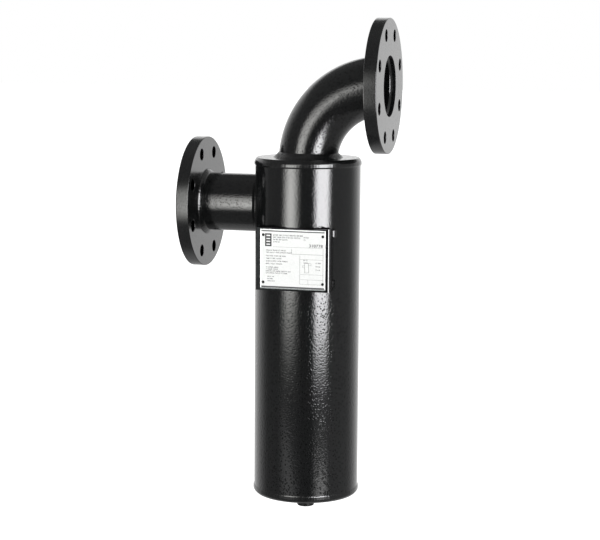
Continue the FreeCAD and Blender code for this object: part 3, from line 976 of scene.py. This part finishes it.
def make_lathe_tree():
    """Turns an outline about the Z axis; marked points swell in ripples."""
    tree, given, result = new_tree(
        "turned_shape", "GeometryNodeTree",
        {"Outline": (GEOMETRY, None), "Steps": (INTEGER, 48), "Ripples": (FLOAT, 0.0),
         "Ripple Depth": (FLOAT, 0.0), "Wander": (FLOAT, 0.0), "Place": (VECTOR, (0, 0, 0)),
         "Material": (MATERIAL, None)},
        {"Shape": (GEOMETRY, None)})
    outline = add(tree, "GeometryNodeMeshToCurve", {"Mesh": given["Outline"]}).outputs[0]
    place = add(tree, "GeometryNodeInputPosition").outputs[0]
    spread = keep(tree, outline, "spread", part(tree, place, "X"))
    level = keep(tree, spread, "level", part(tree, place, "Z"))
    path = add(tree, "GeometryNodeCurvePrimitiveCircle", {"Resolution": given["Steps"]}).outputs[0]
    index = add(tree, "GeometryNodeInputIndex").outputs[0]
    share = maths(tree, "DIVIDE", index, given["Steps"])
    turned = keep(tree, path, "turn", product(tree, share, 2 * math.pi))
    swept = add(tree, "GeometryNodeCurveToMesh", {"Curve": turned, "Profile Curve": level})
    turn = recall(tree, "turn")
    ripple = product(tree, turn, maths(tree, "DIVIDE", given["Ripples"], 2.0))
    scallop = maths(tree, "ABSOLUTE", maths(tree, "SINE", ripple))
    rise = product(tree, maths(tree, "SUBTRACT", scallop, 1.0), given["Ripple Depth"])
    ring = add(tree, "ShaderNodeCombineXYZ",
               {0: maths(tree, "COSINE", turn), 1: maths(tree, "SINE", turn)}).outputs[0]
    uneven = maths(tree, "SUBTRACT", noise(tree, ring, UNEVEN_SCALE), UNEVEN_MIDDLE)
    drift = product(tree, uneven, given["Wander"])
    swell = product(tree, maths(tree, "ADD", rise, drift), recall(tree, "bulge"))
    radius = maths(tree, "ADD", recall(tree, "spread"), swell)
    rest = add(tree, "ShaderNodeCombineXYZ", {2: recall(tree, "level")}).outputs[0]
    spot = vectors(tree, "ADD", vectors(tree, "SCALE", ring, scale=radius), rest)
    moved = add(tree, "GeometryNodeSetPosition", {
        "Geometry": swept.outputs[0], "Position": vectors(tree, "ADD", spot, given["Place"])})
    hand_out(tree, moved.outputs[0], given["Material"], result["Shape"])
    return tree


def outline_mesh(name, corners):
    """A closed outline in the XZ plane from (radius, height, bulge) points."""
    count = len(corners)
    mesh = bpy.data.meshes.new(name)
    mesh.from_pydata([(radius, 0, height) for radius, height, bulge in corners],
                     [(i, (i + 1) % count) for i in range(count)], [])
    attribute = mesh.attributes.new("bulge", "FLOAT", "POINT")
    attribute.data.foreach_set("value", [bulge for radius, height, bulge in corners])
    return mesh


lathe_tree = make_lathe_tree()
print("tree:", lathe_tree.name, len(lathe_tree.nodes), "nodes")

# %% Turn the seam beads
SEAM_INSET = 0.0036
SEAM_RIPPLE_PITCH = 0.0042
SEAM_RIPPLE_DEPTH = 0.00006
SEAM_WANDER = 0.0006
STEPS_PER_SEAM_RIPPLE = 5
CURVE_STEPS = 8
EDGE_CURVE = 1.6
SEAM_STEP = 0.0003
SEAM_LIFT = 0.0001
SEAM_STRAIGHT = 0.0004
SEAM_SINK = 0.0005
SEAM_SHAPES = {
    # height past the frame's bead, rounding over the plate, slope to the pipe and its bend
    "top": (0.0016, 0.0068, 0.0020, 0.7),
    "bottom": (0.0009, 0.0050, 0.0021, 1.4),
}


def seam_outline(plate_r, seam_r, height, upwards, rounding, slope, hollow):
    """A seam bead's section as (radius, height over the plate's face, bulge).

    It rounds over the plate, runs straight, and slopes in to the pipe; hollow bends the slope."""
    proud = seam_r - shell_r
    shares = [step / (CURVE_STEPS - 1) for step in range(CURVE_STEPS)]
    corners = [(plate_r, 0.0, 0.0), (seam_r - SEAM_INSET - SEAM_STEP, 0.0, 0.0)]
    corners += [(seam_r - SEAM_INSET * (1 - share) ** EDGE_CURVE, SEAM_LIFT + rounding * share,
                 share) for share in shares]
    corners += [(seam_r, rounding + SEAM_STRAIGHT, 1.0),
                (seam_r, height - slope - SEAM_STRAIGHT, 1.0)]
    corners += [(seam_r - proud * share ** hollow, height - slope * (1 - share), 1 - share * share)
                for share in shares]
    corners += [(shell_r - SEAM_SINK, height, 0.0), (plate_r, height - SEAM_SINK, 0.0)]
    return [(radius, -upwards * depth, bulge) for radius, depth, bulge in corners]


def turn_seam(end, face_z, upwards):
    """One seam bead, at the plate whose outer face is at face_z."""
    low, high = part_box("top_seam_weld")
    seam_r = width("top_seam_weld") / 2
    extra, *shape = SEAM_SHAPES[end]
    ripples = round(2 * math.pi * seam_r / SEAM_RIPPLE_PITCH)
    outline = seam_outline(width("top_end_plate") / 2, seam_r, high.z - low.z + extra, upwards,
                           *shape)
    bead = run_tree(end + "_seam_bead", outline_mesh(end + "_section", outline), lathe_tree, {
        "Steps": ripples * STEPS_PER_SEAM_RIPPLE, "Ripples": float(ripples),
        "Ripple Depth": SEAM_RIPPLE_DEPTH, "Wander": SEAM_WANDER,
        "Place": (axis_x, axis_y, face_z), "Material": weld_paint})
    stand_for(bead, "black_paint", end + "_seam_weld")


turn_seam("top", top_z, 1)
turn_seam("bottom", bottom_z, -1)

# %% [markdown]
# ## Flanges
#
# Paint rounds every edge that it covers, and those thin rounded edges are what catches the
# light on a dark flange. One sector of the plate, with its bolt hole, is drawn with rounded
# edges at the rim, the bore and the hole's two mouths. A tree then repeats it round the axis.

# %% Draw one sector of a flange
BOLT_HOLES = 8
RIM_STEPS, SIDE_STEPS, BORE_STEPS = 16, 8, 10
ROUND_STEPS = 4
RIM_ROUNDING = 0.0010
BORE_ROUNDING = 0.0003
MOUTH_ROUNDING = 0.0007
SUPPORT = 0.0006
HALF_SECTOR = math.pi / BOLT_HOLES


def edge_steps(wall_r, rounding, outward, low_x, high_x):
    """(radius, x) points over a wall with rounded edges; outward is 1 for a rim, -1 for a hole."""
    turns = [math.pi / 2 * i / ROUND_STEPS for i in range(ROUND_STEPS + 1)]
    radii = [wall_r - outward * rounding * (1 - math.sin(turn)) for turn in turns]
    insets = [rounding * (1 - math.cos(turn)) for turn in turns]
    radii.append(wall_r)
    insets.append(rounding + SUPPORT)
    front = [(radius, high_x - inset) for radius, inset in zip(radii, insets)]
    back = [(radius, low_x + inset) for radius, inset in zip(radii, insets)]
    return front + back[::-1]


def spaced(start, end, steps):
    """Even steps from start up to, but not with, the end."""
    return [start + (end - start) * i / steps for i in range(steps)]


def sector_outline(bore_r, rim_r):
    """The outline of one sector as (radius, angle): the rim, a side, the bore and the other side."""
    outline = [(rim_r, angle) for angle in spaced(-HALF_SECTOR, HALF_SECTOR, RIM_STEPS)]
    outline += [(radius, HALF_SECTOR) for radius in spaced(rim_r, bore_r, SIDE_STEPS)]
    outline += [(bore_r, angle) for angle in spaced(HALF_SECTOR, -HALF_SECTOR, BORE_STEPS)]
    outline += [(radius, -HALF_SECTOR) for radius in spaced(bore_r, rim_r, SIDE_STEPS)]
    return outline


def on_flange(radius, angle, x):
    """A point of the sector, whose hole lies half a sector round from the top."""
    turn = angle + HALF_SECTOR
    return Vector((x, radius * math.sin(turn), radius * math.cos(turn)))


def join_loops(shape, loops, closed):
    """Faces between loops of as many points each."""
    for first, second in zip(loops, loops[1:]):
        for i in range(len(first) if closed else len(first) - 1):
            after = (i + 1) % len(first)
            shape.faces.new((first[i], first[after], second[after], second[i]))


def flange_sector(name, sizes, low_x, high_x):
    """One sector of a plate flange; sizes are the radii of bore, rim, bolt circle and hole."""
    bore_r, rim_r, circle_r, hole_r = sizes
    rim = edge_steps(rim_r, RIM_ROUNDING, 1, low_x, high_x)
    bore = edge_steps(bore_r, BORE_ROUNDING, -1, low_x, high_x)
    mouth = edge_steps(hole_r, MOUTH_ROUNDING, -1, low_x, high_x)
    outline = sector_outline(bore[0][0], rim[0][0])
    centre = on_flange(circle_r, 0, 0)
    ways = [(on_flange(radius, angle, 0) - centre).normalized() for radius, angle in outline]
    shape = bmesh.new()

    def hole_loop(radius, x):
        """Points round the bolt hole, as many as the outline has."""
        return [shape.verts.new(centre + X_OUT * x + way * radius) for way in ways]

    def outline_loop(x, inset):
        """The outline's own points, drawn in towards the hole by an inset."""
        return [shape.verts.new(on_flange(radius, angle, x) - way * inset)
                for (radius, angle), way in zip(outline, ways)]

    outer_loops, hole_loops = [], []
    for x in (high_x, low_x):
        around_hole = hole_loop(mouth[0][0], x)
        support = hole_loop(mouth[0][0] + SUPPORT, x)
        inner, outer = outline_loop(x, SUPPORT), outline_loop(x, 0.0)
        join_loops(shape, [around_hole, support, inner, outer], True)
        outer_loops.append(outer)
        hole_loops.append(around_hole)
    walls = [hole_loop(radius, x) for radius, x in mouth[1:-1]]
    join_loops(shape, [hole_loops[0], *walls, hole_loops[1]], True)
    for steps, first, count in ((rim, 0, RIM_STEPS), (bore, RIM_STEPS + SIDE_STEPS, BORE_STEPS)):
        arc = slice(first, first + count + 1)
        angles = [angle for radius, angle in outline[arc]]
        walls = [[shape.verts.new(on_flange(radius, angle, x)) for angle in angles]
                 for radius, x in steps[1:-1]]
        join_loops(shape, [outer_loops[0][arc], *walls, outer_loops[1][arc]], False)
    return mesh_from(name, shape)


print("sector:", BOLT_HOLES, "to a flange")

# %% Repeat the sector


def make_flange_tree():
    """Repeats a sector round the X axis and joins the sectors."""
    tree, given, result = new_tree(
        "bolted_flange", "GeometryNodeTree",
        {"Sector": (GEOMETRY, None), "Sectors": (INTEGER, 8), "Centre": (VECTOR, (0, 0, 0)),
         "Material": (MATERIAL, None)},
        {"Flange": (GEOMETRY, None)})
    spots = add(tree, "GeometryNodePoints", {"Count": given["Sectors"]})
    index = add(tree, "GeometryNodeInputIndex").outputs[0]
    share = maths(tree, "DIVIDE", index, given["Sectors"])
    turn = add(tree, "ShaderNodeCombineXYZ", {0: product(tree, share, 2 * math.pi)})
    placed = add(tree, "GeometryNodeInstanceOnPoints",
                 {"Points": spots.outputs[0], "Instance": given["Sector"],
                  "Rotation": turn.outputs[0]})
    moved = add(tree, "GeometryNodeTransform",
                {"Geometry": placed.outputs[0], "Translation": given["Centre"]})
    joined = add(tree, "GeometryNodeRealizeInstances", {"Geometry": moved.outputs[0]})
    welded = add(tree, "GeometryNodeMergeByDistance",
                 {"Geometry": joined.outputs[0], "Distance": 0.00001})
    hand_out(tree, welded.outputs[0], given["Material"], result["Flange"])
    return tree


FLANGE_BORE_R = 0.045
flange_tree = make_flange_tree()
for end in ("inlet", "outlet"):
    low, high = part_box(end + "_flange")
    rim_r = (high.z - low.z) / 2
    sector = flange_sector(end + "_sector", (FLANGE_BORE_R, rim_r, BOLT_CIRCLE_R, BOLT_HOLE_R),
                           low.x, high.x)
    flange = run_tree(end + "_bolted_flange", sector, flange_tree, {
        "Sectors": BOLT_HOLES, "Centre": (0, (low.y + high.y) / 2, (low.z + high.z) / 2),
        "Material": flange_paints[end]})
    stand_for(flange, "black_paint", end + "_flange")

# %% [markdown]
# ## Nameplate
#
# The plate is white lacquered aluminium with a bare rim. A mask from the object coordinates says
# where the rim is, and the lacquer ends there. The rim's foot is painted darker as shade, and a
# dark line round the plate's edge is a painted shadow of the gap behind it. The bracket behind it
# is painted black like the rest, but the front that carries the plate is matt.

# %% Finish the nameplate
PLATE_WHITE = (0.72, 0.73, 0.72, 1)
RIM_METAL = (0.55, 0.56, 0.56, 1)
# painted shade: a darker metal for the rim along the plate's foot
SHADED_FOOT_RIM_METAL = (0.16, 0.17, 0.17, 1)
LACQUER_GREY = (0.66, 0.67, 0.66, 1)
# painted shadow: a black line round the plate's edge stands for the shade of the gap behind it
SHADOW_GAP_BLACK = (0.004, 0.004, 0.004, 1)
RIM_WIDTH = 0.0022
SHADOW_GAP_WIDTH = 0.0007
RIM_METALLIC = 0.8
LACQUER_ROUGHNESS = 0.42
GRAIN_ROUGHNESS = 0.12
LACQUER_IOR = 1.45
# behind the bracket's front plane, the paint is glossy past the first depth and matt before
# the second
MATT_FRONT = (0.00016, 0.00008)
# painted shadow: the dark line round the plate's edge is this much wider at the top
SHADOW_GAP_TOP_EXTRA = 0.0007


def rim_mask(tree, low, high, rim):
    """1 on the plate's rim and 0 inside it, from the object coordinates."""
    offset = vectors(tree, "SUBTRACT", object_place(tree), tuple((low + high) / 2))
    from_middle = vectors(tree, "ABSOLUTE", offset)
    half = (high - low) / 2
    over_x = maths(tree, "SUBTRACT", part(tree, from_middle, "X"), half.x - rim)
    over_z = maths(tree, "SUBTRACT", part(tree, from_middle, "Z"), half.z - rim)
    return maths(tree, "GREATER_THAN", maths(tree, "MAXIMUM", over_x, over_z), 0.0)


def nameplate_lacquer():
    """White lacquer with a bare rim, whose foot is painted darker as shade and whose edge carries a
    painted shadow gap.
    """
    low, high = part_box("nameplate")
    material, tree, plate = new_material("nameplate_lacquer")
    rim = rim_mask(tree, low, high, RIM_WIDTH)
    grain = add(tree, "ShaderNodeGroup", {"Size": 0.0012}, node_tree=mill_scale).outputs["Value"]
    white = mix_colours(tree, grain, PLATE_WHITE, LACQUER_GREY)
    # painted shade: the rim takes the darker metal along the plate's foot
    lower = maths(tree, "LESS_THAN", object_place(tree, "Z"), low.z + RIM_WIDTH)
    metal = mix_colours(tree, lower, RIM_METAL, SHADED_FOOT_RIM_METAL)
    # painted shadow gap: a dark line round the plate's edge, wider at the top
    edge = rim_mask(tree, low, high - Z_UP * SHADOW_GAP_TOP_EXTRA, SHADOW_GAP_WIDTH)
    metal = mix_colours(tree, edge, metal, SHADOW_GAP_BLACK)
    feed(tree, plate.inputs["Base Color"], mix_colours(tree, rim, white, metal))
    feed(tree, plate.inputs["Metallic"], product(tree, rim, RIM_METALLIC))
    rough = maths(tree, "ADD", LACQUER_ROUGHNESS, product(tree, grain, GRAIN_ROUGHNESS))
    feed(tree, plate.inputs["Roughness"], rough)
    plate.inputs["IOR"].default_value = LACQUER_IOR
    return material


def matt_front(material, front_y):
    """Dulls the paint where it faces forwards, at the bracket's front plane."""
    tree = material.node_tree
    matt = smooth_step(tree, object_place(tree, "Y"), *(front_y + depth for depth in MATT_FRONT))
    feed(tree, tree.nodes["Principled BSDF"].inputs["Metallic"], matt)


nodes["nameplate"].material_slots[0].material = nameplate_lacquer()
matt_front(sheet_paint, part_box("nameplate_bracket")[0].y)
print("nameplate: lacquered, with a bare rim of", RIM_WIDTH, "m")

# %% [markdown]
# ## Print on the nameplate
#
# The print is generic: rows of plain numbers, ruled lines, a striped block in the corner and
# an outline drawing of a vessel. The numbers come from a tree that sets a text, fills it and
# stands it up in front of the plate. All places on the plate are millimetres from its lower
# left corner.

# %% Print the rows of numbers
INK_LIFT = 0.00004
BOLD_SHARE = 0.05
FACE_INSET = 0.0005
SERIAL_DIGITS = 6
INK_COLOURS = ((0.010, 0.010, 0.011, 1), (0.030, 0.030, 0.032, 1))
DIGITS = random.Random(11)


def make_number_tree():
    """Sets a text, doubles it a little aside to make it bold, and stands it up."""
    tree, given, result = new_tree(
        "number_rows", "GeometryNodeTree",
        {"Source": (GEOMETRY, None), "Text": (TEXT, ""), "Size": (FLOAT, 0.002),
         "Line Spacing": (FLOAT, 1.0), "Place": (VECTOR, (0, 0, 0)), "Material": (MATERIAL, None)},
        {"Print": (GEOMETRY, None)})
    text = add(tree, "GeometryNodeStringToCurves",
               {"String": given["Text"], "Size": given["Size"],
                "Line Spacing": given["Line Spacing"], "Character Spacing": 1.1})
    filled = add(tree, "GeometryNodeFillCurve", {"Curve": text.outputs[0]})
    aside = add(tree, "ShaderNodeCombineXYZ",
                {0: product(tree, given["Size"], BOLD_SHARE), 2: -INK_LIFT / 4}).outputs[0]
    again = add(tree, "GeometryNodeTransform",
                {"Geometry": filled.outputs[0], "Translation": aside})
    bold = add(tree, "GeometryNodeJoinGeometry")
    tree.links.new(again.outputs[0], bold.inputs[0])
    tree.links.new(filled.outputs[0], bold.inputs[0])
    upright = add(tree, "GeometryNodeTransform",
                  {"Geometry": bold.outputs[0], "Translation": given["Place"],
                   "Rotation": (math.pi / 2, 0, 0)})
    hand_out(tree, upright.outputs[0], given["Material"], result["Print"], smooth=False)
    return tree


def number_row(length):
    """A row of plain numbers in groups, about as many characters long as asked."""
    row = ""
    while len(row) < length:
        row += "".join(str(DIGITS.randrange(10)) for _ in range(DIGITS.randrange(2, 7))) + " "
    return row.strip()


def plate_ink():
    """Nearly black ink, a little worn."""
    material, tree, shader = new_material("plate_ink")
    worn = add(tree, "ShaderNodeGroup", {"Size": 0.0006}, node_tree=mill_scale).outputs["Value"]
    feed(tree, shader.inputs["Base Color"], mix_colours(tree, worn, *INK_COLOURS))
    feed(tree, shader.inputs["Roughness"], maths(tree, "ADD", 0.45, product(tree, worn, 0.2)))
    return material


plate_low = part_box("nameplate")[0]
face_y = plate_low.y + FACE_INSET


def on_plate(right, up):
    """A point of the print, given in millimetres from the plate's lower left corner."""
    return Vector((plate_low.x + right * MM, face_y - INK_LIFT, plate_low.z + up * MM))


ink = plate_ink()
number_tree = make_number_tree()
PRINT_BLOCKS = (
    # name, left, first baseline, letter size, line spacing, characters in each row
    ("heading", 19.8, 79.0, 2.9, 1.12, (26, 28, 11, 8)),
    ("serial", 74.0, 63.8, 6.4, 1.0, (8,)),
    ("upper_rows", 9.0, 56.6, 2.8, 1.15, (20, 25)),
    ("middle_rows", 9.0, 48.4, 2.7, 1.45, (21, 12, 24, 19)),
    ("lower_rows", 9.0, 31.4, 2.7, 1.05, (12, 10, 25, 23)),
    ("foot_rows", 11.0, 17.6, 2.5, 1.3, (9, 7, 10)),
    ("table_head", 66.0, 43.6, 2.4, 1.6, (4, 6)),
    ("table_rows", 84.0, 40.0, 2.3, 2.2, (4, 3, 5)),
    ("corner_mark", 66.0, 77.0, 2.6, 1.4, (2, 2)),
)
for name, left, baseline, size, spacing, lengths in PRINT_BLOCKS:
    rows = "\n".join(number_row(length) for length in lengths)
    if name == "serial":
        rows = rows.replace(" ", "")[:SERIAL_DIGITS]
    block = run_tree("print_" + name, bpy.data.meshes.new(name), number_tree, {
        "Text": rows, "Size": size * MM, "Line Spacing": spacing,
        "Place": tuple(on_plate(left, baseline)), "Material": ink})
    stand_for(block, "nameplate_face")

# %% Rule the lines
LINE_WIDTH = 0.35


def bar(shape, left, low, right, high):
    """A filled rectangle of the print."""
    corners = ((left, low), (right, low), (right, high), (left, high))
    shape.faces.new([shape.verts.new(on_plate(*corner)) for corner in corners])


def rule(shape, start, end, width=LINE_WIDTH):
    """A ruled line of the print, level or upright."""
    (left, low), (right, high) = start, end
    bar(shape, left - width / 2, low - width / 2, right + width / 2, high + width / 2)


def frame_lines(shape, left, low, right, high, thick):
    """Four ruled lines round a rectangle."""
    for level in (low, high):
        rule(shape, (left, level), (right, level), thick)
    for side in (left, right):
        rule(shape, (side, low), (side, high), thick)


def rule_plate():
    """All the ruled lines and bars of the print, with the two bands of painted shade, as one piece.
    """
    shape = bmesh.new()
    rule(shape, (20, 62.8), (95.6, 62.8), 0.25)
    rule(shape, (48, 54.0), (48, 60.2))
    rule(shape, (48, 53.0), (95.6, 53.0))
    rule(shape, (60.6, 9.4), (60.6, 51.0))
    for level in (45.6, 23.4, 15.8, 9.0):
        rule(shape, (61.0, level), (95.6, level), 0.25)
    rule(shape, (95.6, 9.0), (95.6, 62.8))
    rule(shape, (73.0, 9.0), (73.0, 15.8), 0.25)
    # a striped block in the corner
    frame_lines(shape, 8.8, 64.4, 16.6, 81.2, 2.1)
    for level in (68.4, 72.6, 76.8):
        bar(shape, 9.9, level - 1.3, 15.6, level + 1.3)
    # the outline of an upright vessel with two pipes
    frame_lines(shape, 68.0, 26.0, 74.0, 40.0, 0.4)
    frame_lines(shape, 64.6, 33.4, 68.0, 36.4, 0.3)
    frame_lines(shape, 74.0, 37.0, 77.6, 40.0, 0.3)
    # dark bands along the top and the bottom: painted shade at the plate's rim, drawn in ink
    rule(shape, (3.0, 86.0), (97.0, 86.0), 1.6)
    rule(shape, (3.0, 3.4), (97.0, 3.4), 2.1)
    mesh = mesh_from("print_lines_and_painted_shade", shape)
    mesh.materials.append(ink)
    stand_for(into_scene("print_lines_and_painted_shade", mesh), "nameplate_face")


rule_plate()

# %% [markdown]
# ## Rivets
#
# Four blind rivets hold the plate. A blind rivet has a low dome with a small crater where its pin
# broke off. The dome's section goes through the lathe tree, and a second tree puts the result on
# a grid of four points and turns it to face forwards.

# %% Set the rivets
RIVET_SIDES = 32
SHANK_R = 0.0016
DOME_STEPS = 7
# the crater's radius, depth and lip, and the dome's edge, as shares of the head
CRATER_R, CRATER_DEPTH, CRATER_LIP, DOME_EDGE = 0.38, 0.45, 1.15, 0.12


def make_rivet_tree():
    """Turns a rivet, puts it on a grid of four points and faces it forwards."""
    tree, given, result = new_tree(
        "rivet_grid", "GeometryNodeTree",
        {"Outline": (GEOMETRY, None), "Wide": (FLOAT, 0.09), "High": (FLOAT, 0.07),
         "Centre": (VECTOR, (0, 0, 0)), "Material": (MATERIAL, None)},
        {"Rivets": (GEOMETRY, None)})
    rivet = add(tree, "GeometryNodeGroup",
                {"Outline": given["Outline"], "Steps": RIVET_SIDES, "Material": given["Material"]},
                node_tree=lathe_tree)
    spots = add(tree, "GeometryNodeMeshGrid",
                {"Size X": given["Wide"], "Size Y": given["High"], "Vertices X": 2, "Vertices Y": 2})
    placed = add(tree, "GeometryNodeInstanceOnPoints",
                 {"Points": spots.outputs[0], "Instance": rivet.outputs[0]})
    upright = add(tree, "GeometryNodeTransform",
                  {"Geometry": placed.outputs[0], "Translation": given["Centre"],
                   "Rotation": (math.pi / 2, 0, 0)})
    hand_out(tree, upright.outputs[0], given["Material"], result["Rivets"])
    return tree


def rivet_outline(head_r, head_height, shank_r, shank_length):
    """A blind rivet's section from the crater's middle over the dome and down the shank."""
    crater_r, crater_depth = head_r * CRATER_R, head_height * CRATER_DEPTH
    lip_r = crater_r * CRATER_LIP
    corners = [(0.0, head_height - crater_depth), (crater_r * 0.7, head_height - crater_depth),
               (crater_r, head_height - crater_depth * 0.3), (lip_r, head_height)]
    for step in range(1, DOME_STEPS + 1):
        turn = math.pi / 2 * step / DOME_STEPS
        corners.append((lip_r + (head_r - lip_r) * math.sin(turn),
                        head_height * (DOME_EDGE + (1 - DOME_EDGE) * math.cos(turn))))
    corners += [(head_r, 0.0), (shank_r, 0.0), (shank_r, -shank_length), (0.0, -shank_length)]
    return [(radius, height, 0.0) for radius, height in corners]


def set_rivets():
    """The four rivets, as one piece."""
    first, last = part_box("nameplate_rivet_1"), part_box("nameplate_rivet_4")
    head_r = width("nameplate_rivet_1") / 2
    outline = rivet_outline(head_r, face_y - first[0].y, SHANK_R, first[1].y - face_y)
    centre = ((first[0].x + last[1].x) / 2, face_y, (first[1].z + last[0].z) / 2)
    rivets = run_tree("nameplate_rivets", outline_mesh("rivet_section", outline), make_rivet_tree(),
                      {"Wide": last[0].x - first[0].x, "High": first[0].z - last[0].z,
                       "Centre": centre, "Material": rivet_black})
    stand_for(rivets, "black_rivet", *(f"nameplate_rivet_{i}" for i in range(1, 5)))


set_rivets()
